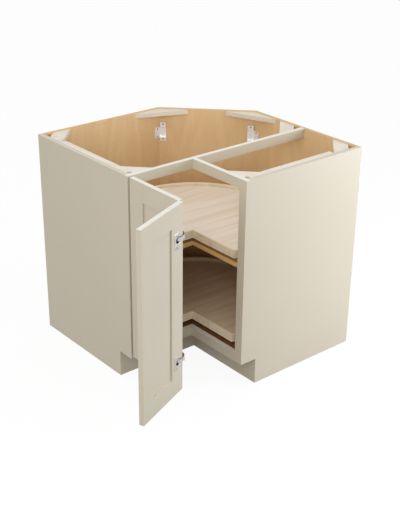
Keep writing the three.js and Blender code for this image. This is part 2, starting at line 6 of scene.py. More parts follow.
import bmesh
import bpy
from bpy.props import FloatProperty, FloatVectorProperty, PointerProperty
from bpy.types import Operator, Panel, PropertyGroup
from mathutils import Matrix, Vector


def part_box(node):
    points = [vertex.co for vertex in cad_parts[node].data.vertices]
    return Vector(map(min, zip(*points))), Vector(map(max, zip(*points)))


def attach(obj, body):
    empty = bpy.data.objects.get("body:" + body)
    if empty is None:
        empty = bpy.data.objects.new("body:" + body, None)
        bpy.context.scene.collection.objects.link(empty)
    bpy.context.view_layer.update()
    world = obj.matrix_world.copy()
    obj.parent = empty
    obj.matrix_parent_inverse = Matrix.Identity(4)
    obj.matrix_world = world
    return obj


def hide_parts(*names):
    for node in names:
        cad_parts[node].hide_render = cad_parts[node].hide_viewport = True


bl_info = {
    "name": "Corner carousel cabinet",
    "version": (1, 0, 0),
    "blender": (4, 5, 0),
    "location": "View3D > Sidebar > Cabinet",
    "description": "Finishes and hardware for a corner base cabinet with two turning trays",
    "category": "Object",
}

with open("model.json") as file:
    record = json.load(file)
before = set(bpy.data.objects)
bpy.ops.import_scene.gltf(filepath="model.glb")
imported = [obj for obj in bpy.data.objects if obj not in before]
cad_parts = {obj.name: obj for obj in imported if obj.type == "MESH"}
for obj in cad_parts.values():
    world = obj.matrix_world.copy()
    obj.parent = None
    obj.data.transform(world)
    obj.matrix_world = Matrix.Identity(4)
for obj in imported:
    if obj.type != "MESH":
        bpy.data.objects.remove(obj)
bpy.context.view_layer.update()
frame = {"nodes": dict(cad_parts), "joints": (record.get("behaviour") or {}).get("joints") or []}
MM = 0.001
UP = (0.0, 0.0, 1.0)
WHITE = (1.0, 1.0, 1.0, 1.0)
TINY = 1e-6

# Where the two door leaves stand as modelled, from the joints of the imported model.
JOINTS = {joint["name"]: joint for joint in frame["joints"]}
STILE_PIVOT = Vector(JOINTS["door_swing"]["pos_m"])
FOLD_AXIS = Vector(JOINTS["door_fold"]["pos_m"])
FIRST_LEAF_TURN = radians(-90.0)
FOLD_DEGREES = 22.4
SECOND_LEAF_TURN = radians(FOLD_DEGREES - 180.0)


def linear(red, green, blue):
    """A colour as it is read off a screen, 0 to 255, as the shader's own numbers."""
    def one(value):
        value /= 255.0
        return value / 12.92 if value <= 0.04045 else ((value + 0.055) / 1.055) ** 2.4
    return one(red), one(green), one(blue)


# ---- settings
def colour(name, description, *rgb):
    return FloatVectorProperty(name=name, description=description, subtype="COLOR",
                               size=3, min=0.0, max=1.0, default=linear(*rgb))


def length(name, description, millimetres):
    return FloatProperty(name=name, description=description, subtype="DISTANCE",
                         unit="LENGTH", min=0.0, default=millimetres * MM)


def power(name, description, watts):
    return FloatProperty(name=name, description=description, subtype="POWER",
                         unit="POWER", min=0.0, default=watts)


class CabinetFinishes(PropertyGroup):
    """Colours of the paint, the timbers and the metals."""

    paint: colour("Paint", "Satin paint on the ends, the face frame and the door", 208, 199, 180)
    # painted sheen: a paler colour on upward faces, standing in for the light that falls on them
    painted_sheen: colour("Top edges", "Upward faces of the face frame and the door", 234, 233, 223)
    # painted shade: the cabinet floor and its figure are darker than birch, standing in for the
    # shade under the lower tray
    floor: colour("Cabinet floor", "Darker board under the lower tray", 150, 105, 64)
    shaded_floor_figure: colour("Floor figure", "Figure in the cabinet floor", 118, 78, 44)
    birch: colour("Birch", "Clear-finished birch plywood inside the case", 227, 197, 151)
    birch_dark: colour("Birch figure", "Darker figure in the birch", 201, 159, 107)
    maple: colour("Maple", "Veneer of the turning trays", 251, 243, 230)
    # painted shade: the lower tray's maple and grain are warmer copies of the upper's, standing
    # in for the warm shade in the lower opening
    maple_low_shaded: colour("Lower maple", "Veneer of the lower tray, a warmer sheet", 255, 238, 208)
    maple_dark: colour("Maple grain", "Darker grain lines in the upper tray", 218, 199, 176)
    maple_low_shaded_grain: colour("Lower grain", "Grain lines in the lower tray", 216, 178, 142)
    rim: colour("Rim", "Bent plywood rims of the trays", 246, 231, 208)
    rim_dark: colour("Rim flecks", "Short dark flecks in the rims", 176, 150, 120)
    shelf: colour("Shelf edge", "Plywood edge of the fixed shelf", 232, 192, 130)
    shelf_dark: colour("Shelf plies", "Darker plies in the shelf's edge", 206, 158, 100)
    # painted shade: the shelf's faces are darker than birch, standing in for the shade under the
    # upper tray
    shaded_shelf_face: colour("Shelf face", "Broad faces of the fixed shelf", 204, 160, 106)
    shaded_shelf_figure: colour("Shelf figure", "Figure in the shelf's faces", 178, 128, 74)
    block: colour("Gussets", "Bare plywood gussets and cleats", 235, 229, 218)
    block_dark: colour("Gusset grain", "Darker plies and grain of the bare wood", 208, 192, 169)
    nickel: colour("Nickel", "Plated steel of the hinges", 205, 202, 198)
    zinc: colour("Zinc", "Zinc-coated steel of the corner brackets", 246, 248, 252)
    # dark brown screws in the brackets' holes, as dark as those holes look
    bronze: colour("Bronzed steel", "Dark screws of the corner brackets", 120, 72, 40)
    race: colour("Bearing steel", "Oiled steel of the tray bearings", 120, 114, 106)


class CabinetSizes(PropertyGroup):
    """Small sizes that the finished pieces add to the bare model."""

    paint_edge: length("Painted edge", "Rounding of the end panels' edges", 0.1)
    joint_edge: length("Jointed edge", "Rounding where painted members are joined", 0.1)
    wood_edge: length("Wood edge", "Rounding of the plywood edges", 0.5)
    rim_edge: length("Rim edge", "Rounding of the bent rims", 1.4)
    metal_edge: length("Metal edge", "Rounding of pressed metal", 0.3)
    metal_bend: length("Metal bend", "Radius of the bends in pressed metal", 3.0)
    wear: length("Edge wear", "How far the thin paint of an edge reaches", 1.6)


class CabinetStudio(PropertyGroup):
    """Lamps and background."""

    key: power("Key lamp", "Power of the large lamp at the right", 25.5)
    top: power("Top lamp", "Power of the lamp overhead", 18.0)
    fill: power("Fill lamp", "Power of the wide lamp before the door", 30.0)
    side: power("Side lamp", "Power of the lamp beside the left end", 14.0)
    sky: FloatProperty(name="Room light", description="Even light from all round",
                       min=0.0, default=0.69)
    floor: colour("Floor", "Light that the plain floor throws back", 154, 150, 141)


# ---- shader maths
class Signal:
    """A shader socket; arithmetic on it adds the nodes that work it out."""

    def __init__(self, shader, socket):
        self.shader, self.socket = shader, socket

    def reckon(self, operation, *sides):
        """A Math node, or a Vector Math node where a side is a vector."""
        vector = any(isinstance(s, Signal) and s.socket.type == "VECTOR" for s in sides)
        kind = "VectorMath" if vector else "Math"
        if vector:
            sides = [(s,) * 3 if isinstance(s, (int, float)) else s for s in sides]
        return self.shader.node(kind, {"operation": operation}, dict(enumerate(sides)))

    def __add__(self, other):
        return self.reckon("ADD", self, other)

    __radd__ = __add__

    def __sub__(self, other):
        return self.reckon("SUBTRACT", self, other)

    def __rsub__(self, other):
        return self.reckon("SUBTRACT", other, self)

    def __mul__(self, other):
        return self.reckon("MULTIPLY", self, other)

    __rmul__ = __mul__

    def __abs__(self):
        return self.reckon("ABSOLUTE", self)

    def least(self, other):
        return self.reckon("MINIMUM", self, other)

    def most(self, other):
        return self.reckon("MAXIMUM", self, other)

    def part(self):
        return self.reckon("FRACT", self)

    def along(self, direction):
        """How far this point lies along a fixed direction."""
        return self.shader.node("VectorMath", {"operation": "DOT_PRODUCT"},
                                {0: self, 1: tuple(direction)}, "Value")

    def ramp(self, low, high, to_low=0.0, to_high=1.0):
        """A smooth step from to_low to to_high while this goes from low to high."""
        return self.shader.node(
            "MapRange", {"interpolation_type": "SMOOTHSTEP"},
            {"Value": self, "From Min": low, "From Max": high,
             "To Min": to_low, "To Max": to_high})


class Shader:
    """The nodes of one material, or of the room light."""

    def __init__(self, name, kind="materials"):
        self.owner = getattr(bpy.data, kind).new(name)
        self.owner.use_nodes = True
        self.tree = self.owner.node_tree
        self.tree.nodes.clear()

    def node(self, kind, settings=None, sockets=None, out=0):
        """Adds any shader node: its settings first, then its sockets' values or links."""
        node = self.tree.nodes.new("ShaderNode" + kind)
        for name, value in (settings or {}).items():
            setattr(node, name, value)
        for name, value in (sockets or {}).items():
            if isinstance(value, Signal):
                self.tree.links.new(value.socket, node.inputs[name])
            else:
                node.inputs[name].default_value = value
        return Signal(self, node.outputs[out])

    def mix(self, factor, first, second):
        """A colour between two colours."""
        def full(value):
            return value if isinstance(value, Signal) else (*value, 1.0)
        return self.node("Mix", {"data_type": "RGBA"},
                         {0: factor, 6: full(first), 7: full(second)}, 2)

    def place(self):
        """The point on the piece as modelled, in metres in the shared frame."""
        return self.node("TexCoord", out="Object")

    def facing(self):
        return self.node("TexCoord", out="Normal")

    def vector(self, x, y, z):
        return self.node("CombineXYZ", None, {0: x, 1: y, 2: z})

    def noise(self, point, scale, detail=3.0, roughness=0.55, distortion=0.0):
        """Soft noise, from about 0 to 1."""
        return self.node("TexNoise", None,
                         {"Vector": point, "Scale": scale, "Detail": detail,
                          "Roughness": roughness, "Distortion": distortion})

    def bump(self, height, strength, distance, normal=None):
        sockets = {"Height": height, "Strength": strength, "Distance": distance}
        if normal is not None:
            sockets["Normal"] = normal
        return self.node("Bump", None, sockets)

    def finish(self, base, roughness, normal, **constants):
        """Ends in a Principled shader. Constants go on the shader's own sockets."""
        sockets = {"Base Color": base, "Roughness": roughness, "Normal": normal}
        sockets |= {name.replace("_", " "): value for name, value in constants.items()}
        return self.end(self.node("BsdfPrincipled", None, sockets))

    def end(self, surface, kind="OutputMaterial"):
        output = self.tree.nodes.new("ShaderNode" + kind)
        self.tree.links.new(surface.socket, output.inputs["Surface"])
        return self.owner

    def seen(self):
        """1 for the camera's rays, straight or by a gloss, and 0 for other light."""
        camera = self.node("LightPath", out="Is Camera Ray")
        return camera.most(self.node("LightPath", out="Is Glossy Ray"))


# ---- a piece's own axes
class Stock:
    """A board's own box and axes: which way its grain runs and which way it is thick."""

    def __init__(self, pieces, grain, thick, turn):
        """grain and thick are "x", "y" or "z" of the pieces turned back by turn about +Z."""
        axes = {"x": Vector((cos(turn), sin(turn), 0.0)),
                "y": Vector((-sin(turn), cos(turn), 0.0)),
                "z": Vector(UP)}
        across = ({"x", "y", "z"} - {grain, thick}).pop()
        self.grain, self.across, self.thick = axes[grain], axes[across], axes[thick]
        self.low, self.high = [], []
        for axis in (self.grain, self.across, self.thick):
            reach = [vertex.co.dot(axis) for piece in pieces for vertex in piece.data.vertices]
            self.low.append(min(reach))
            self.high.append(max(reach))

    def point(self, shader):
        """The surface point as (along the grain, across it, through the board)."""
        place = shader.place()
        return [place.along(axis) for axis in (self.grain, self.across, self.thick)]

    def edge(self, point, reach):
        """1 on the board's arrises, falling to 0 at reach from them."""
        gaps = [abs(p - (low + high) / 2) * -1.0 + (high - low) / 2
                for p, low, high in zip(point, self.low, self.high)]
        first, second, third = gaps
        total = first + second + third
        nearest = first.least(second).least(third)
        furthest = first.most(second).most(third)
        return (total - nearest - furthest).ramp(0.0, reach, 1.0, 0.0)

    def is_face(self, shader):
        """1 on the two broad faces, 0 on the edges."""
        return abs(shader.facing().along(self.thick)).ramp(*FACE_ON)


# ---- finishes
FACE_ON = (0.6, 0.8)          # from where to where a face comes to look a given way
FIBRES = 420.0                # scale of a veneer's fibres, across them
RIM_LAYER = 1.9 * MM
RIM_PALE = (4.5 * MM, 3.5 * MM)       # from a rim's edges to where its side turns pale


def settings():
    scene = bpy.context.scene
    return scene.cabinet_finishes, scene.cabinet_sizes, scene.cabinet_studio


def paint_finish(name, stock, bare, painted_sheen):
    """Satin paint, sprayed: a faint trace of the wood below, thinner on the arrises.

    bare is the way that the face looks which is left as clear-finished birch. Pieces
    that have none get a painted sheen on their upward faces: a paler colour that stands in
    for the light falling on them, as strong as the last argument says."""
    finishes, sizes, _ = settings()
    shader = Shader(name)
    point = stock.point(shader)
    grain = shader.vector(point[0] * 5.0, point[1] * 90.0, point[2] * 90.0)
    place = shader.place()
    fibre = shader.noise(grain, 1.0, 4.0, 0.6)
    cloud = shader.noise(place, 2.3, 3.0, 0.5)
    peel = shader.noise(place, 620.0, 2.0, 0.5)
    rub = stock.edge(point, sizes.wear) * shader.noise(place, 55.0, 4.0).ramp(0.35, 0.7)
    base = Vector(finishes.paint)
    tone = shader.mix(cloud.ramp(0.25, 0.75), base * 0.975, base * 1.01)
    tone = shader.mix(fibre.ramp(0.3, 0.75) * 0.12, tone, base * 0.93)
    tone = shader.mix(rub * 0.3, tone, base * 0.86)
    if bare:
        rings, lines, _ = veneer(shader, point)
        birch, figure = Vector(finishes.birch), Vector(finishes.birch_dark)
        wood = shader.mix(rings * 0.2 + lines.ramp(0.35, 0.8) * 0.3, birch, figure)
        tone = shader.mix(shader.facing().along(bare).ramp(*FACE_ON), tone, wood)
    else:
        # painted sheen: upward faces turn paler, a colour standing in for the light on them
        upward = shader.facing().along(UP).ramp(*FACE_ON)
        tone = shader.mix(upward * (0.8 + cloud * 0.2) * painted_sheen, tone, finishes.painted_sheen)
    normal = shader.bump(fibre, 0.05, 0.3 * MM)
    normal = shader.bump(peel, 0.08, 0.12 * MM, normal)
    rough = 0.40 + cloud * 0.06 - rub * 0.08 + peel * 0.04
    return shader.finish(tone, rough, normal, Coat_Weight=0.06, Coat_Roughness=0.22)


def ply_edge(shader, stock, point, plies, light, dark):
    """Colour of a plywood edge: long and end grain in turn, with thin glue lines."""
    thickness = stock.high[2] - stock.low[2]
    layer = (point[2] - stock.low[2]) * (plies / thickness)
    turn = (layer * 0.5).part().ramp(0.49, 0.51)
    glue = abs(layer.part() - 0.5).ramp(0.40, 0.49)
    pores = shader.noise(shader.place(), 900.0, 3.0, 0.7).ramp(0.35, 0.65)
    light, dark = Vector(light), Vector(dark)
    tone = shader.mix(turn * 0.55 + pores * 0.25, light, dark)
    return shader.mix(glue * 0.7, tone, dark * 0.62), pores, glue


def veneer(shader, point, stretch=0.25, count=9.0, wander=5.0):
    """Rings of a sliced veneer, from 0 to 1, its fine fibres and the wave of its rings."""
    broad = shader.vector(point[0] * stretch, point[1], point[2] * 0.5)
    wave = shader.noise(broad, wander, 2.0, 0.5)
    rings = (wave * count).part()
    rings = rings.ramp(0.0, 0.75) * (1.0 - rings.ramp(0.82, 1.0))
    fine = shader.vector(point[0] * 9.0, point[1] * FIBRES, point[2] * FIBRES)
    return rings, shader.noise(fine, 1.0, 4.0, 0.65), wave


def plywood_finish(name, stock, light, dark, edge_light, edge_dark, plies,
                   stretch=0.25, count=9.0, wander=5.0, strength=0.2, rough=0.5, coat=0.1,
                   streak=0.1, speckle=0.22):
    """Veneered plywood: figured faces, layered edges."""
    _, sizes, _ = settings()
    shader = Shader(name)
    point = stock.point(shader)
    rings, fibre, wave = veneer(shader, point, stretch, count, wander)
    light, dark = Vector(light), Vector(dark)
    face = shader.mix(rings * strength, light, dark)
    face = shader.mix(fibre.ramp(0.35, 0.8) * 0.30, face, dark)
    streaks = shader.noise(shader.vector(point[0] * 1.3, point[1] * 24.0, 0.0), 1.0, 3.0, 0.6)
    face = shader.mix(streaks.ramp(0.42, 0.7) * streak, face, dark)
    mottle = shader.noise(shader.place(), 170.0, 3.0, 0.65)
    face = shader.mix(mottle.ramp(0.4, 0.68) * speckle, face, dark * 0.97)
    face = shader.mix(wave.ramp(0.3, 0.7) * 0.22, face, light * 1.03)
    layers, pores, glue = ply_edge(shader, stock, point, plies, edge_light, edge_dark)
    is_face = stock.is_face(shader)
    worn = stock.edge(point, sizes.wear) * fibre
    base = shader.mix(is_face, layers, face)
    base = shader.mix(worn * 0.25, base, dark * 0.8)
    height = fibre * is_face + (pores * 0.8 - glue * 0.6) * (1.0 - is_face)
    normal = shader.bump(height, 0.22, 0.25 * MM)
    roughness = rough + fibre * 0.12 + (1.0 - is_face) * 0.15
    return shader.finish(base, roughness, normal, Coat_Weight=coat, Coat_Roughness=0.3)


def timber_finish(name, stock, light, dark):
    """Solid bare timber: straight grain along its length, pores on its ends."""
    shader = Shader(name)
    point = stock.point(shader)
    slow = shader.vector(point[0] * 1.5, point[1] * 26.0, point[2] * 26.0)
    wave = shader.noise(slow, 1.0, 2.0, 0.5, 0.4)
    rings = (wave * 7.0).part().ramp(0.1, 0.9)
    fine = shader.vector(point[0] * 14.0, point[1] * 520.0, point[2] * 520.0)
    fibre = shader.noise(fine, 1.0, 4.0, 0.65)
    light, dark = Vector(light), Vector(dark)
    base = shader.mix(rings * 0.35, light, dark)
    base = shader.mix(fibre.ramp(0.4, 0.8) * 0.4, base, dark)
    normal = shader.bump(fibre, 0.35, 0.3 * MM)
    return shader.finish(base, 0.62 + fibre * 0.15, normal)


def rim_finish(name, low, high, round_rim):
    """Bent plywood: flecked sides, with the layers showing along the top."""
    finishes, _, _ = settings()
    shader = Shader(name)
    place = shader.place()
    top = abs(shader.facing().along(UP)).ramp(0.55, 0.8)
    flat = place * (1.0, 1.0, 0.0)
    if round_rim:
        inward = shader.node("VectorMath", {"operation": "LENGTH"}, {0: flat}, "Value")
    else:
        inward = flat.along(thin_way(low, high))
    flecks = shader.noise(place * (160.0, 160.0, 420.0), 1.0, 5.0, 0.75).ramp(0.46, 0.62)
    cloud = shader.noise(place, 26.0, 3.0, 0.6)
    layer = inward * (1.0 / RIM_LAYER)
    line = abs(layer.part() - 0.5).ramp(0.36, 0.5)
    turn = (layer * 0.5).part().ramp(0.45, 0.55)
    light, dark = Vector(finishes.rim), Vector(finishes.rim_dark)
    side = shader.mix(flecks * 0.35 + cloud.ramp(0.4, 0.7) * 0.2, light, dark)
    half = (high[2] - low[2]) / 2
    pale = abs(place.along(UP) - (low[2] + high[2]) / 2).ramp(
        *(half - inset for inset in RIM_PALE))
    side = shader.mix(pale * 0.6, side, light * 1.06)
    edge = shader.mix(turn * 0.35 + line * 0.3, light * 1.12, dark)
    base = shader.mix(top, side, edge)
    normal = shader.bump(flecks + line * top, 0.25, 0.2 * MM)
    return shader.finish(base, 0.55 + flecks * 0.1, normal)


def thin_way(low, high):
    """The thin way of a straight rim."""
    size = [b - a for a, b in zip(low, high)]
    return (1.0, 0.0, 0.0) if size[0] < size[1] else (0.0, 1.0, 0.0)


def metal_finish(name, tint, rough, metallic=1.0):
    """Plated or coated steel, with faint drawing lines and rubbed patches."""
    shader = Shader(name)
    place = shader.place()
    lines = shader.noise(place * (60.0, 60.0, 3000.0), 1.0, 3.0, 0.6)
    patches = shader.noise(place, 260.0, 4.0, 0.6)
    tint = Vector(tint)
    base = shader.mix(patches.ramp(0.35, 0.7), tint, tint * 0.86)
    base = shader.mix(lines * 0.25, base, tint * 0.8)
    normal = shader.bump(lines + patches * 0.5, 0.06, 0.1 * MM)
    roughness = rough + patches * 0.12 + lines * 0.05
    return shader.finish(base, roughness, normal, Metallic=metallic)


# ---- shaping pieces
def bench(x, y, turn=0.0):
    """Takes millimetres on axes that stand at x, y to metres in the frame."""
    return (Matrix.Translation((x, y, 0.0)) @ Matrix.Rotation(turn, 4, "Z")
            @ Matrix.Scale(MM, 4))


# The case is measured in millimetres from the outer faces of its two end panels.
CASE = bench(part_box("end_panel_left")[0][0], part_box("end_panel_right")[0][1])


def flat_on(place, x, y, z):
    """Axes on an upright face: the first two along it, the third out of it along y."""
    return place @ Matrix(((1, 0, 0, x), (0, 0, 1, y), (0, 1, 0, z), (0, 0, 0, 1)))


def mid_height(node):
    """The height of the middle of a CAD node, in millimetres."""
    return sum(corner[2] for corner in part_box(node)) / 2 / MM


def make(name, mesh, material, body, slot, *stands_for, bevel=0.0):
    """Makes a piece of the cabinet from finished mesh work."""
    bmesh.ops.recalc_face_normals(mesh, faces=mesh.faces)
    data = bpy.data.meshes.new(name)
    mesh.to_mesh(data)
    mesh.free()
    data.shade_smooth()
    data.set_sharp_from_angle(angle=radians(35.0))
    for one in material if isinstance(material, tuple) else (material,):
        data.materials.append(one)
    piece = bpy.data.objects.new(name, data)
    bpy.context.scene.collection.objects.link(piece)
    if bevel:
        ease_edges(piece, bevel)
    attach(piece, body)
    if stands_for:
        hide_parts(*stands_for)


def rounded(corners, radius, closed=False, steps=5):
    """A line through these corners, each rounded as far as its two sides allow."""
    corners = [Vector(corner) for corner in corners]
    if closed:
        corners = [corners[-1], *corners, corners[0]]
    points = [] if closed else [corners[0]]
    for before, corner, after in zip(corners, corners[1:], corners[2:]):
        back, on = before - corner, after - corner
        half = back.angle(on) / 2
        reach = min(radius / tan(half), back.length * 0.49, on.length * 0.49)
        start, end = corner + back.normalized() * reach, corner + on.normalized() * reach
        bend = reach * tan(half)
        centre = corner + (back.normalized() + on.normalized()).normalized() * (
            bend / sin(half))
        spoke, last = start - centre, end - centre
        sweep = atan2(spoke.cross(last), spoke.dot(last))
        for step in range(steps + 1):
            turn = Matrix.Rotation(sweep * step / steps, 2)
            points.append(centre + turn @ spoke)
    return points if closed else [*points, corners[-1]]


def mirrored(half, radius, steps):
    """The outline of a blank from its half heights, with rounded corners."""
    return rounded([*half, *((along, -up) for along, up in reversed(half))], radius, True, steps)


def slot_hole(along, up, long, wide, radius):
    """The outline of a slot in a blank. long and wide are half sizes."""
    return rounded([(along - long, up - wide), (along + long, up - wide),
                    (along + long, up + wide), (along - long, up + wide)], radius, True)


class Course:
    """The middle line of bent metal in plan, by the distance along it."""

    def __init__(self, corners, radius):
        self.points = rounded(corners, radius)
        self.marks = [0.0]
        for one, two in zip(self.points, self.points[1:]):
            self.marks.append(self.marks[-1] + (two - one).length)
        self.length = self.marks[-1]

    def at(self, distance):
        """The point there, and the way to the line's left."""
        last = len(self.points) - 2
        k = next((i for i in range(last + 1) if distance <= self.marks[i + 1]), last)
        one, two = self.points[k], self.points[k + 1]
        ahead = (two - one).normalized()
        point = one + ahead * (distance - self.marks[k])
        # the way out is blended over each mark, so that bends keep their thickness
        into = (one - self.points[k - 1]).normalized() if k else ahead
        outof = (self.points[k + 2] - two).normalized() if k < last else ahead
        share = (distance - self.marks[k]) / (self.marks[k + 1] - self.marks[k])
        way = (into + ahead).normalized() * (1 - share) + (ahead + outof).normalized() * share
        return point, Vector((-way.y, way.x)).normalized()


def pressed(mesh, place, course, outline, holes, metal, rise=None, folds=((), ())):
    """Bent sheet metal. The blank and its holes are drawn as (distance, height).

    rise lifts a point of the blank out of it, and folds are the distances and the
    heights at which the blank is creased for that."""
    blank = bmesh.new()
    edges = []
    for line in (outline, *holes):
        ring = [blank.verts.new((point[0], 0.0, point[1])) for point in line]
        edges += [blank.edges.new(pair) for pair in zip(ring, ring[1:] + ring[:1])]
    bmesh.ops.triangle_fill(blank, use_beauty=True, edges=edges)
    creases = [((mark, 0, 0), (1, 0, 0)) for mark in (*course.marks[1:-1], *folds[0])]
    creases += [((0, 0, height), (0, 0, 1)) for height in folds[1]]
    for where, across in creases:
        bmesh.ops.bisect_plane(blank, geom=[*blank.verts, *blank.edges, *blank.faces],
                               plane_co=where, plane_no=across, dist=1e-4)
    skins = []
    for side in (-0.5, 0.5):
        skin = {}
        for corner in blank.verts:
            point, out = course.at(corner.co.x)
            lift = metal * side + (rise(corner.co.x, corner.co.z) if rise else 0.0)
            skin[corner] = mesh.verts.new(
                place @ Vector((*(point + out * lift), corner.co.z)))
        skins.append(skin)
    under, over = skins
    for face in blank.faces:
        mesh.faces.new([over[corner] for corner in face.verts])
        mesh.faces.new([under[corner] for corner in reversed(face.verts)])
    for edge in blank.edges:
        if edge.is_boundary:
            a, b = edge.verts
            mesh.faces.new((under[a], under[b], over[b], over[a]))
    blank.free()


def evenly(count):
    return [2 * pi * i / count for i in range(count)]


def polar(radius, angle):
    return radius * cos(angle), radius * sin(angle)


def skinned(mesh, place, loops, shade_from=None):
    """A closed solid through loops of points. The faces from a given loop number on take
    the second material, which paints shade into a hollow."""
    loops = [[mesh.verts.new(place @ Vector(point)) for point in loop] for loop in loops]
    shade_from = len(loops) if shade_from is None else shade_from
    for number, (lower, upper) in enumerate(zip(loops, loops[1:])):
        for i in range(len(lower)):
            j = (i + 1) % len(lower)
            face = mesh.faces.new((lower[i], lower[j], upper[j], upper[i]))
            face.material_index = int(number >= shade_from)
    mesh.faces.new(loops[0])
    mesh.faces.new(loops[-1]).material_index = int(shade_from < len(loops))


def turned(mesh, place, rings, angles, shade_from=None):
    """A closed solid round an axis. A ring is (radius, height), and its radius may be
    a function of the angle."""
    skinned(mesh, place, [
        [(*polar(radius(angle) if callable(radius) else radius, angle), height)
         for angle in angles] for radius, height in rings], shade_from)


def cross(long, narrow):
    """The reach of a screw's cross recess, by angle."""
    def reach(angle):
        turn = abs((angle + pi / 4) % (pi / 2) - pi / 4)
        return min(long / cos(turn), narrow / max(sin(turn), TINY))
    return reach


def screw(mesh, place, radius, dome=0.0, shade_from=None):
    """The head of a cross-head screw: flush, or standing dome proud of its seat.
    From a given ring number on it takes the second material, which paints shade into its cross
    recess."""
    top = max(dome, 0.25)
    turned(mesh, place, [
        (radius * 0.9, -0.6), (radius, 0.0), (radius, top * 0.35), (radius * 0.93, top * 0.7),
        (radius * 0.8, top * 0.92), (cross(radius * 0.62, radius * 0.17), top),
        (cross(radius * 0.5, radius * 0.11), top - 0.9),
    ], evenly(48), shade_from)


# ---- dressing CAD nodes
def ease_edges(piece, width):
    """Rounds a piece's sharp edges, with modifiers alone."""
    weld = piece.modifiers.new("join faces", "WELD")
    weld.merge_threshold = 0.00002
    bevel = piece.modifiers.new("eased edges", "BEVEL")
    bevel.width, bevel.segments = width, 2
    bevel.limit_method, bevel.angle_limit = "ANGLE", radians(28.0)
    bevel.miter_outer = "MITER_ARC"
    shade = piece.modifiers.new("flat faces", "WEIGHTED_NORMAL")
    shade.weight, shade.keep_sharp = 100, False


def clad(piece, material, edge):
    """Gives a CAD node its material and its eased edges."""
    piece.data.materials.clear()
    piece.data.materials.append(material)
    if edge:
        ease_edges(piece, edge)


def dress(name, finish, ways, edge, slot, *more, whole=None, **looks):
    """Finishes a CAD node. whole is the pieces whose outer arrises are worn as one."""
    piece = frame["nodes"][name]
    stock = Stock(whole or [piece], *ways)
    clad(piece, finish(f"{name} finish", stock, *more, **looks), edge)


def plywood(table, slot, faces, edges=None, **looks):
    """Finishes plywood nodes, whose edges may have colours of their own."""
    for name, ways in table.items():
        dress(name, plywood_finish, ways, settings()[1].wood_edge, slot, *faces,
              *(edges or faces), **looks)


def both_runs(name, grain, thick, left="left"):
    """A piece of the left run, and its like in the right run, where x and y trade places."""
    other = {"x": "y", "y": "x", "z": "z"}
    return {f"{name}_{left}": (grain, thick, 0.0),
            f"{name}_right": (other[grain], other[thick], 0.0)}


# name: (grain, thick, turn); grain and thick are the piece's own axes
PAINTED = {
    **both_runs("end_panel", "z", "x"), **both_runs("face_stile", "z", "y"),
    **both_runs("bottom_rail", "x", "y"), **both_runs("top_rail", "x", "y", "left_brace"),
    **both_runs("toe_board", "x", "y"),
}
for leaf, leaf_turn in (("leaf_1", FIRST_LEAF_TURN), ("leaf_2", SECOND_LEAF_TURN)):
    for member in ("hinge_stile", "far_stile", "panel"):
        PAINTED[f"{leaf}_{member}"] = ("z", "y", leaf_turn)
    for member in ("top_rail", "bottom_rail"):
        PAINTED[f"{leaf}_{member}"] = ("x", "y", leaf_turn)

# the end panels' inner faces, by the way that they look
BARE_INSIDE = {"end_panel_left": (1.0, 0.0, 0.0), "end_panel_right": (0.0, 1.0, 0.0)}
# the leaves' bottom rails make a ledge under their panels, which takes less of the painted sheen
LEDGES = ("leaf_1_bottom_rail", "leaf_2_bottom_rail")
LEDGE_PAINTED_SHEEN = 0.3
DIAGONAL = radians(-45.0)
BACKS = {**both_runs("back_panel", "z", "y"), "back_panel_diagonal": ("z", "y", DIAGONAL)}
LAID_FLAT = ("x", "z", 0.0)
GUSSETS = {
    **both_runs("corner_block_front", "x", "z"), **both_runs("corner_block_rear", "x", "z"),
    **both_runs("corner_block_diagonal", "x", "z"), "corner_block_brace": LAID_FLAT,
}
CLEATS = {**both_runs("top_cleat", "y", "x"), "floor_bearer": ("x", "y", 0.0)}


class PaintedPieces(Operator):
    """Paints the end panels, the face frame, the toe boards and both door leaves"""

    bl_idname = "cabinet.painted_pieces"
    bl_label = "Painted pieces"

    def execute(self, context):
        sizes = settings()[1]
        for name, ways in PAINTED.items():
            leaf = name[:6] if name.startswith("leaf") else None
            whole = [piece for other, piece in frame["nodes"].items()
                     if leaf and other.startswith(leaf)]
            edge = sizes.paint_edge if name in BARE_INSIDE else sizes.joint_edge
            edge = 0.0 if leaf and name.endswith("_panel") else edge
            dress(name, paint_finish, ways, edge, "paint",
                  BARE_INSIDE.get(name), LEDGE_PAINTED_SHEEN if name in LEDGES else 1.0, whole=whole)
        return {"FINISHED"}


class CaseBoards(Operator):
    """Finishes the birch backs and floor, and the fixed shelf; the floor and the shelf's faces
    take darker colours, painted shade
    """

    bl_idname = "cabinet.case_boards"
    bl_label = "Case boards"

    def execute(self, context):
        finishes = settings()[0]
        plywood(BACKS, "birch", (finishes.birch, finishes.birch_dark), plies=5)
        # the floor's darker colours are painted shade under the lower tray
        plywood({"cabinet_floor": LAID_FLAT}, "birch", (finishes.floor, finishes.shaded_floor_figure),
                plies=5)
        # the shelf's faces take darker colours: painted shade under the upper tray
        plywood({"fixed_shelf": LAID_FLAT}, "shelf_ply",
                (finishes.shaded_shelf_face, finishes.shaded_shelf_figure),
                (finishes.shelf, finishes.shelf_dark), plies=9)
        return {"FINISHED"}


class GussetsAndCleats(Operator):
    """Finishes the bare plywood gussets, the cleats and the bearer under the floor"""

    bl_idname = "cabinet.gussets_and_cleats"
    bl_label = "Gussets and cleats"

    def execute(self, context):
        finishes, sizes, _ = settings()
        block = (finishes.block, finishes.block_dark)
        plywood(GUSSETS, "block_ply", block, plies=7, stretch=0.3, count=6.0, wander=9.0,
                strength=0.3, rough=0.62, coat=0.0)
        for name, ways in CLEATS.items():
            dress(name, timber_finish, ways, sizes.wood_edge, "block_ply", *block)
        return {"FINISHED"}


# a tray's radius, how far the sides of its pie cut are from its axis, and its rim's width
TRAY_RADIUS, TRAY_NOTCH, TRAY_RIM = 370.008, 108.608, 9.5
RIM_STEPS = 220
RIM_ARC = (0.4, 0.8, 1.2)


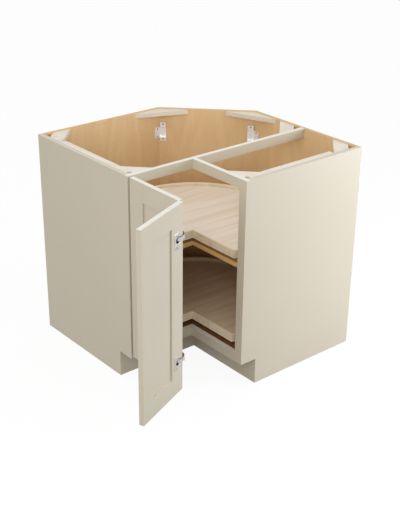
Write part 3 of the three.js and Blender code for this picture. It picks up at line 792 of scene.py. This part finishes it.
class Trays(Operator):
    """Finishes the maple decks and straight rims, and bends the round rims"""

    bl_idname = "cabinet.trays"
    bl_label = "Trays"

    def execute(self, context):
        finishes, sizes, _ = settings()
        for level in ("upper", "lower"):
            # the lower tray takes warmer copies of the maple: painted shade, for the warm shade
            # inside the lower opening
            maple = ((finishes.maple, finishes.maple_dark) if level == "upper"
                     else (finishes.maple_low_shaded, finishes.maple_low_shaded_grain))
            dress(f"{level}_tray_deck", plywood_finish, LAID_FLAT, 0.0, "maple", *maple, *maple,
                  plies=7, stretch=0.12, count=16.0, wander=4.0, rough=0.42, coat=0.12,
                  streak=0.5, speckle=0.06)
            for name in ("notch_rim_left", "notch_rim_right"):
                piece = frame["nodes"][f"{level}_tray_{name}"]
                low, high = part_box(piece.name)
                clad(piece, rim_finish(f"{piece.name} finish", low, high, False),
                     sizes.wood_edge)
            self.bend_rim(level, sizes.rim_edge / MM)
        return {"FINISHED"}

    def bend_rim(self, level, edge):
        """The round rim, from one side of the pie cut to the other."""
        node = f"{level}_tray_curved_rim"
        low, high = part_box(node)
        bottom, top = low[2] / MM, high[2] / MM
        inner, middle = TRAY_RADIUS - TRAY_RIM, TRAY_RADIUS - TRAY_RIM / 2

        def shoulder(wall, way):
            return [(wall + way * edge * (1 - cos(t)), top - edge * (1 - sin(t)))
                    for t in RIM_ARC]

        section = [(middle, bottom), (inner, bottom), (inner, top - edge), *shoulder(inner, 1),
                   (inner + edge, top), (TRAY_RADIUS - edge, top),
                   *reversed(shoulder(TRAY_RADIUS, -1)),
                   (TRAY_RADIUS, top - edge), (TRAY_RADIUS, bottom)]

        def station(step):
            """The section there. The first and last stand along the pie cut's sides."""
            for radius, height in section:
                side = asin(TRAY_NOTCH / radius)
                start, end = -pi / 2 - side, pi + side
                yield *polar(radius, start + (end - start) * step / RIM_STEPS), height

        mesh = bmesh.new()
        skinned(mesh, bench(0.0, 0.0), [station(step) for step in range(RIM_STEPS + 1)])
        make(f"{level}_round_rim", mesh, rim_finish(f"{level} round rim finish", low, high, True),
             f"{level}_carousel", "rim_ply", node)


# a cup's flange, from the cup's centre; far is away from the leaf's edge
CUP_FAR, CUP_NEAR, CUP_HALF, CUP_CHAMFER, CUP_COLLAR = 27.0, 3.0, 32.5, 7.0, 19.0
CUP_FACE = 1.5                                    # above the leaf's back
CUP_SCREWS, CUP_SCREW = ((12.0, -21.5), (12.0, 21.5)), 4.2
CUP_SHADE_RING, SCREW_SHADE_RING = 11, 5                    # the rings where the painted shade in the cup's bore and the screws' recesses starts
# each leaf's axes, its back on them, its cups' centres and half bores across it, their
# half bores up it, and how far their screws stand proud
CUPS = {"first": (STILE_PIVOT, FIRST_LEAF_TURN, 12.4, 17.35, 15.5, 15.5, 0.0),
        "second": (FOLD_AXIS, SECOND_LEAF_TURN, 19.3, 33.0, 15.2, 11.4, 1.9)}
FOLD_OPEN = radians(FOLD_DEGREES)


def flange_reach(angle):
    """How far a cup's flange reaches from the cup's centre."""
    ahead, up = cos(angle), abs(sin(angle))
    reach = CUP_HALF / max(up, TINY)
    reach = min(reach, CUP_FAR / ahead if ahead > TINY else CUP_NEAR / max(-ahead, TINY))
    if ahead > 0.0:
        reach = min(reach, (CUP_FAR + CUP_HALF - CUP_CHAMFER) / (ahead + up))
    return max(reach, CUP_COLLAR)


def hinge_cup(leaf, node, metals):
    """A drilled-in cup with a rolled lip, its flange and its two screws, as one piece."""
    mesh = bmesh.new()
    origin, turn, back, across, bore_across, bore_up, dome = CUPS[leaf]
    seat = flat_on(bench(origin.x, origin.y, turn), across, back, mid_height(node))
    corners = [(CUP_FAR, CUP_HALF - CUP_CHAMFER), (CUP_FAR - CUP_CHAMFER, CUP_HALF),
               (-CUP_NEAR, CUP_HALF), (-CUP_NEAR, sqrt(CUP_COLLAR ** 2 - CUP_NEAR ** 2))]
    angles = {atan2(side * up, ahead) % (2 * pi) for ahead, up in corners for side in (1, -1)}
    angles |= {angle for angle in evenly(120) if all(abs(angle - at) > 0.012 for at in angles)}

    def flange(less):
        return lambda angle: flange_reach(angle) - less

    def bore(wider):
        return lambda angle: wider + 1 / hypot(cos(angle) / bore_across, sin(angle) / bore_up)

    # the cup's outside, its flange, then the lip and the inside of its bore
    turned(mesh, seat, [
        (14.5, -11.4), (17.0, -11.0), (17.3, -10.4), (17.3, 0.3),
        (flange(0.3), 0.3), (flange(0.0), 0.5), (flange(0.0), 1.0), (flange(0.25), 1.3),
        (flange(0.8), CUP_FACE),
        (bore(1.6), CUP_FACE), (bore(1.1), 1.35), (bore(0.5), 0.9), (bore(0.1), 0.1),
        (bore(0.0), -7.6), (bore(-0.6), -8.9), (bore(-1.9), -9.5),
    ], sorted(angles), CUP_SHADE_RING)
    for spot in CUP_SCREWS:
        screw(mesh, seat @ Matrix.Translation((*spot, CUP_FACE)), CUP_SCREW, dome, SCREW_SHADE_RING)
    make(node.replace("hinge_", ""), mesh, metals, f"{leaf}_leaf", "nickel", node)


# the fold arm's middle line in plan, on the first leaf's axes, then on the second's
ARM_ON_FIRST = ((-55.0, 20.85), (-15.0, 20.85), (6.0, 22.1))
ARM_ON_SECOND = ((-6.0, 24.0), (19.5, 24.0), (25.5, 17.4), (33.5, 16.4))
ARM_METAL, ARM_LIP = 1.7, 1.1
ARM_SLOTS = ((13.0, 0.0, 5.0, 2.1), (41.0, 0.0, 4.0, 2.4), (69.5, 6.0, 1.7, 2.6))
ARM_SCREWS, ARM_SCREW, ARM_SCREW_SEAT = ((-44.0, 7.6), (-44.0, -7.6), (-24.0, 0.0)), 3.3, 21.75
ARM_PIN_PLACE = (29.0, 16.9)


def fold_arm(level, nickel):
    """The long arm on the first leaf's back, bent round the fold into the far cup."""
    node = f"fold_hinge_arm_{level}"
    sizes = settings()[1]
    place = bench(FOLD_AXIS.x, FOLD_AXIS.y, FIRST_LEAF_TURN)
    place = place @ Matrix.Translation((0.0, 0.0, mid_height(node)))

    def from_second(along, out):
        return (out * cos(FOLD_OPEN) + along * sin(FOLD_OPEN),
                out * sin(FOLD_OPEN) - along * cos(FOLD_OPEN))

    course = Course([*ARM_ON_FIRST, *(from_second(*corner) for corner in ARM_ON_SECOND)],
                    sizes.metal_bend / MM)
    end = course.length
    # half heights: the plate, then the narrower arm as far as its tip in the cup
    outline = mirrored([(0.0, 12.0), (78.0, 12.0), (82.0, 7.4), (end, 7.0)], 6.0, 5)
    slots = [slot_hole(along, up, long, wide, min(long, wide) * 0.98)
             for along, up, long, wide in ARM_SLOTS]
    mesh = bmesh.new()

    def lip(along, up):
        """The arm's edges are pressed down from its plate to its bend in the cup."""
        return -ARM_LIP if 83.0 < along < end - 31.0 and abs(up) > 5.0 else 0.0

    pressed(mesh, place, course, outline, slots, ARM_METAL, lip,
            ((81.0, 84.0, end - 32.5, end - 30.5), (-5.2, -4.2, 4.2, 5.2)))
    make(f"fold_arm_{level}", mesh, nickel, "first_leaf", "nickel", node,
         bevel=sizes.metal_edge)

    fixings = bmesh.new()
    for along, up in ARM_SCREWS:
        screw(fixings, flat_on(place, along, ARM_SCREW_SEAT, up), ARM_SCREW)
    eye = place @ Matrix.Translation((*from_second(*ARM_PIN_PLACE), 0.0))
    turned(fixings, eye, [(0.8, -8.8), (1.3, -8.5), (1.3, -6.4), (2.1, -6.2), (2.1, 6.2),
                          (1.3, 6.4), (1.3, 8.5), (0.8, 8.8)], evenly(20))
    make(f"fold_arm_pin_{level}", fixings, nickel, "first_leaf", "nickel")


# the stile arm's middle line in plan, and its screws on its plate's face
STILE_ARM_PLAN = ((39.65, 322.35), (39.65, 298.55), (22.55, 298.55))
STILE_ARM_METAL, STILE_ARM_BEND, STILE_ARM_FACE = 2.0, 2.4, 40.65
STILE_ARM_SCREWS, STILE_ARM_SCREW = ((314.3, -13.5), (314.3, 13.5)), 3.4


def stile_arm(level, nickel):
    """The short arm on the face frame's stile, with its plate and two screws."""
    node = f"stile_hinge_arm_{level}"
    place = CASE @ Matrix.Translation((0.0, 0.0, mid_height(node)))
    course = Course(STILE_ARM_PLAN, STILE_ARM_BEND)
    # half heights: the plate on the stile, then the arm into the cup
    outline = mirrored([(0.0, 20.0), (15.6, 20.0), (16.0, 5.0), (course.length, 4.4)], 2.0, 4)
    mesh = bmesh.new()
    pressed(mesh, place, course, outline, [slot_hole(8.0, 0.0, 2.5, 2.2, 2.1)],
            STILE_ARM_METAL)
    make(f"stile_arm_{level}", mesh, nickel, "cabinet", "nickel", node,
         bevel=settings()[1].metal_edge)
    fixings = bmesh.new()
    for along, up in STILE_ARM_SCREWS:
        out = Matrix(((0, 0, 1, STILE_ARM_FACE), (1, 0, 0, along), (0, 1, 0, up), (0, 0, 0, 1)))
        screw(fixings, place @ out, STILE_ARM_SCREW)
    make(f"stile_arm_screws_{level}", fixings, nickel, "cabinet", "nickel")


class Hinges(Operator):
    """Presses and turns the four hinges: cups, arms, pins and screws"""

    bl_idname = "cabinet.hinges"
    bl_label = "Hinges"

    def execute(self, context):
        finishes = settings()[0]
        nickel = metal_finish("nickel plate", finishes.nickel, 0.24)
        # the second metal is painted shade: a dark steel in the cups' bores and the screws'
        # recesses, where shade falls
        metals = (nickel, metal_finish("cup lining", Vector(finishes.race) * 0.35, 0.4))
        for level in ("upper", "lower"):
            hinge_cup("first", f"stile_hinge_cup_{level}", metals)
            hinge_cup("second", f"fold_hinge_cup_{level}", metals)
            fold_arm(level, nickel)
            stile_arm(level, nickel)
        return {"FINISHED"}


# a bracket's fold in plan, the widths beside it, and its screws on the blank
BRACKET_FOLD, BRACKET_WING, BRACKET_PLATE = Vector((603.80, 900.40)), 25.0, 30.5
BRACKET_LOW, BRACKET_HIGH, BRACKET_METAL = 728.0, 812.5, 1.8
BRACKET_SCREWS = ((14.7, 748.5), (14.7, 782.5), (42.1, 736.0), (42.1, 804.5))
BRACKET_HOLE, BRACKET_SCREW = 3.2, 2.9
# how far the plate stands proud at each height, and from where along the blank
BRACKET_PROUD = ((BRACKET_LOW, 1.0), (742.0, 1.0), (744.4, 5.6), (755.8, 0.2), (787.7, 0.2),
                 (790.4, 4.2), (BRACKET_HIGH, 4.2))
BRACKET_STEP = 26.2


class Brackets(Operator):
    """Presses the two folded brackets that hold the diagonal back"""

    bl_idname = "cabinet.brackets"
    bl_label = "Brackets"

    def execute(self, context):
        finishes = settings()[0]
        zinc = metal_finish("zinc coat", finishes.zinc, 0.36, metallic=0.35)
        other_side = Matrix(((0, 1, 0, 0), (1, 0, 0, 0), (0, 0, 1, 0), (0, 0, 0, 1)))
        bronze = metal_finish("bronzed screws", finishes.bronze, 0.5, metallic=0.3)
        self.press("left", CASE, zinc, bronze)
        self.press("right", CASE @ other_side, zinc, bronze)
        return {"FINISHED"}

    def press(self, side, place, zinc, bronze):
        """A chamfered wing on the wall's back, and a taller plate on the diagonal one."""
        course = Course([BRACKET_FOLD - Vector((BRACKET_WING, 0.0)), BRACKET_FOLD,
                         BRACKET_FOLD + Vector((BRACKET_PLATE, -BRACKET_PLATE)) / sqrt(2)],
                        3.0)
        end = course.length
        outline = [(0.0, 746.0), (0.0, 785.0), (8.0, 790.0), (28.6, 790.0),
                   (29.0, BRACKET_HIGH), (end, BRACKET_HIGH), (end, BRACKET_LOW),
                   (29.0, BRACKET_LOW), (28.6, 741.0), (8.0, 741.0)]
        holes = [[(along + BRACKET_HOLE * cos(t), up + BRACKET_HOLE * sin(t))
                  for t in evenly(24)] for along, up in BRACKET_SCREWS]

        def stand(along, up):
            """The plate's ears stand proud of its middle, the lower one behind a lip."""
            proud = next(one + (two - one) * (up - low) / (high - low)
                         for (low, one), (high, two) in zip(BRACKET_PROUD, BRACKET_PROUD[1:])
                         if up <= high + 0.01)
            return -proud * min(max((along - BRACKET_STEP) / 2.2, 0.0), 1.0)

        mesh = bmesh.new()
        pressed(mesh, place, course, rounded(outline, 0.8, True, 3), holes, BRACKET_METAL, stand,
                ((BRACKET_STEP, 28.4), tuple(up for up, _ in BRACKET_PROUD[1:-1])))
        make(f"bracket_{side}", mesh, zinc, "cabinet", "zinc_steel", f"corner_bracket_{side}",
             bevel=settings()[1].metal_edge)

        fixings = bmesh.new()
        for along, up in BRACKET_SCREWS:
            point, out = course.at(along)
            point += out * stand(along, up)
            seat = Matrix(((out.y, 0, -out.x, point.x), (-out.x, 0, -out.y, point.y),
                           (0, 1, 0, up), (0, 0, 0, 1)))
            screw(fixings, place @ seat, BRACKET_SCREW)
        make(f"bracket_screws_{side}", fixings, bronze, "cabinet", "dark_steel")


BALL_RADIUS, BALL_CIRCLE, BALLS = 2.2, 65.0, 64


class Bearings(Operator):
    """Finishes the trays' races and sets the balls between them"""

    bl_idname = "cabinet.bearings"
    bl_label = "Bearings"

    def execute(self, context):
        finishes, sizes, _ = settings()
        steel = metal_finish("oiled steel", finishes.race, 0.34)
        bright = metal_finish("ball steel", finishes.nickel, 0.12)
        ball = [polar(BALL_RADIUS, pi * (i / 8 - 0.5)) for i in range(1, 8)]
        for level in ("upper", "lower"):
            for name in ("base", "top"):
                piece = frame["nodes"][f"{level}_bearing_{name}"]
                clad(piece, steel, sizes.wood_edge)
            node = f"{level}_bearing_ball_ring"
            height = mid_height(node)
            mesh = bmesh.new()
            for turn in evenly(BALLS):
                place = bench(0.0, 0.0) @ Matrix.Translation(
                    (*polar(BALL_CIRCLE, turn), height))
                turned(mesh, place, ball, evenly(12))
            make(f"{level}_balls_set", mesh, bright, f"{level}_balls", "nickel", node)
        return {"FINISHED"}


# ---- stage
LAMP_TARGET = (0.0, 0.0, 0.5)
# each lamp's place, size and tint; its power is the setting of the same name
LAMPS = {
    "key": ((1.4, -1.65, 0.92), (1.0, 1.0), (0.93, 0.985, 1.08)),
    "top": ((0.2, 0.2, 4.2), (3.0, 3.0), (1.0, 1.0, 1.0)),
    "fill": ((-2.7, -2.5, 2.7), (1.6, 1.2), (1.07, 1.01, 0.92)),
    "side": ((-3.0, -0.6, 1.6), (1.2, 1.2), (0.97, 0.99, 1.04)),
}


def area_lamp(name, location, size, tint, watts):
    lamp = bpy.data.lights.new(name, "AREA")
    lamp.shape, lamp.size, lamp.size_y = "RECTANGLE", size[0], size[1]
    lamp.energy, lamp.color = watts, tint
    holder = bpy.data.objects.new(name, lamp)
    holder.location = location
    holder.rotation_euler = (Vector(LAMP_TARGET) - Vector(location)).to_track_quat(
        "-Z", "Y").to_euler()
    bpy.context.scene.collection.objects.link(holder)


FLOOR_REACH, FLOOR_DROP, FLOOR_GLOW = 30.0, 0.0005, 0.92
CAMERA_PLACE = (-2.435793, -2.924527, 2.177797)
CAMERA_AZIMUTH, CAMERA_ELEVATION, CAMERA_ROLL = -0.69884245, 0.44959216, 0.01113454
CAMERA_FOCUS = 1013.695       # pixels, in a picture of 400 by 532
PICTURE_HEIGHT = 532.0
SENSOR = 36.0


class Stage(Operator):
    """Lays the floor and sets the lamps, the room light and the camera"""

    bl_idname = "cabinet.stage"
    bl_label = "Stage"

    def execute(self, context):
        _, _, studio = settings()
        scene = context.scene
        scene.view_settings.view_transform = "Standard"

        room = Shader("room", "worlds")
        level = room.seen() * (1.0 - studio.sky) + studio.sky
        light = room.node("Background", None, {"Color": WHITE, "Strength": level})
        scene.world = room.end(light, "OutputWorld")

        mesh = bpy.data.meshes.new("floor")
        mesh.from_pydata([(FLOOR_REACH * x, FLOOR_REACH * y, 0)
                          for x, y in ((-1, -1), (1, -1), (1, 1), (-1, 1))], [], [(0, 1, 2, 3)])
        floor = bpy.data.objects.new("floor", mesh)
        floor.location.z = -FLOOR_DROP
        scene.collection.objects.link(floor)
        shader = Shader("floor")
        seen = shader.seen()
        matt = shader.node("BsdfDiffuse", None,
                           {"Color": shader.mix(seen, studio.floor, WHITE[:3])})
        white = shader.node("Emission", None, {"Color": WHITE, "Strength": 1.0})
        both = shader.node("MixShader", None, {0: seen * FLOOR_GLOW, 1: matt, 2: white})
        mesh.materials.append(shader.end(both))

        for name, looks in LAMPS.items():
            area_lamp(name, *looks, getattr(studio, name))

        data = bpy.data.cameras.new("camera")
        data.sensor_fit, data.sensor_width, data.sensor_height = "AUTO", SENSOR, SENSOR
        data.lens = CAMERA_FOCUS / PICTURE_HEIGHT * SENSOR
        camera = bpy.data.objects.new("camera", data)
        camera.matrix_world = (Matrix.Translation(CAMERA_PLACE)
                               @ Matrix.Rotation(CAMERA_AZIMUTH, 4, "Z")
                               @ Matrix.Rotation(pi / 2 - CAMERA_ELEVATION, 4, "X")
                               @ Matrix.Rotation(CAMERA_ROLL, 4, "Z"))
        scene.collection.objects.link(camera)
        scene.camera = camera
        return {"FINISHED"}


class CabinetPanel(Panel):
    """The cabinet's settings and its pieces"""

    bl_idname = "VIEW3D_PT_cabinet"
    bl_label = "Corner carousel cabinet"
    bl_space_type = "VIEW_3D"
    bl_region_type = "UI"
    bl_category = "Cabinet"

    def draw(self, context):
        for group in settings():
            box = self.layout.box()
            for name in group.__annotations__:
                box.prop(group, name)
        for operator in OPERATORS:
            self.layout.operator(operator.bl_idname)


GROUPS = {"cabinet_finishes": CabinetFinishes, "cabinet_sizes": CabinetSizes,
          "cabinet_studio": CabinetStudio}
OPERATORS = (Stage, PaintedPieces, CaseBoards, GussetsAndCleats, Trays, Hinges, Brackets,
             Bearings)


def register():
    for group in GROUPS.values():
        bpy.utils.register_class(group)
    for name, group in GROUPS.items():
        setattr(bpy.types.Scene, name, PointerProperty(type=group))
    for one in (*OPERATORS, CabinetPanel):
        bpy.utils.register_class(one)


def unregister():
    for one in (CabinetPanel, *reversed(OPERATORS)):
        bpy.utils.unregister_class(one)
    for name in GROUPS:
        delattr(bpy.types.Scene, name)
    for group in reversed(GROUPS.values()):
        bpy.utils.unregister_class(group)


def main():
    register()
    for operator in OPERATORS:
        group, name = operator.bl_idname.split(".")
        getattr(getattr(bpy.ops, group), name)()


if __name__ == "__main__":
    main()
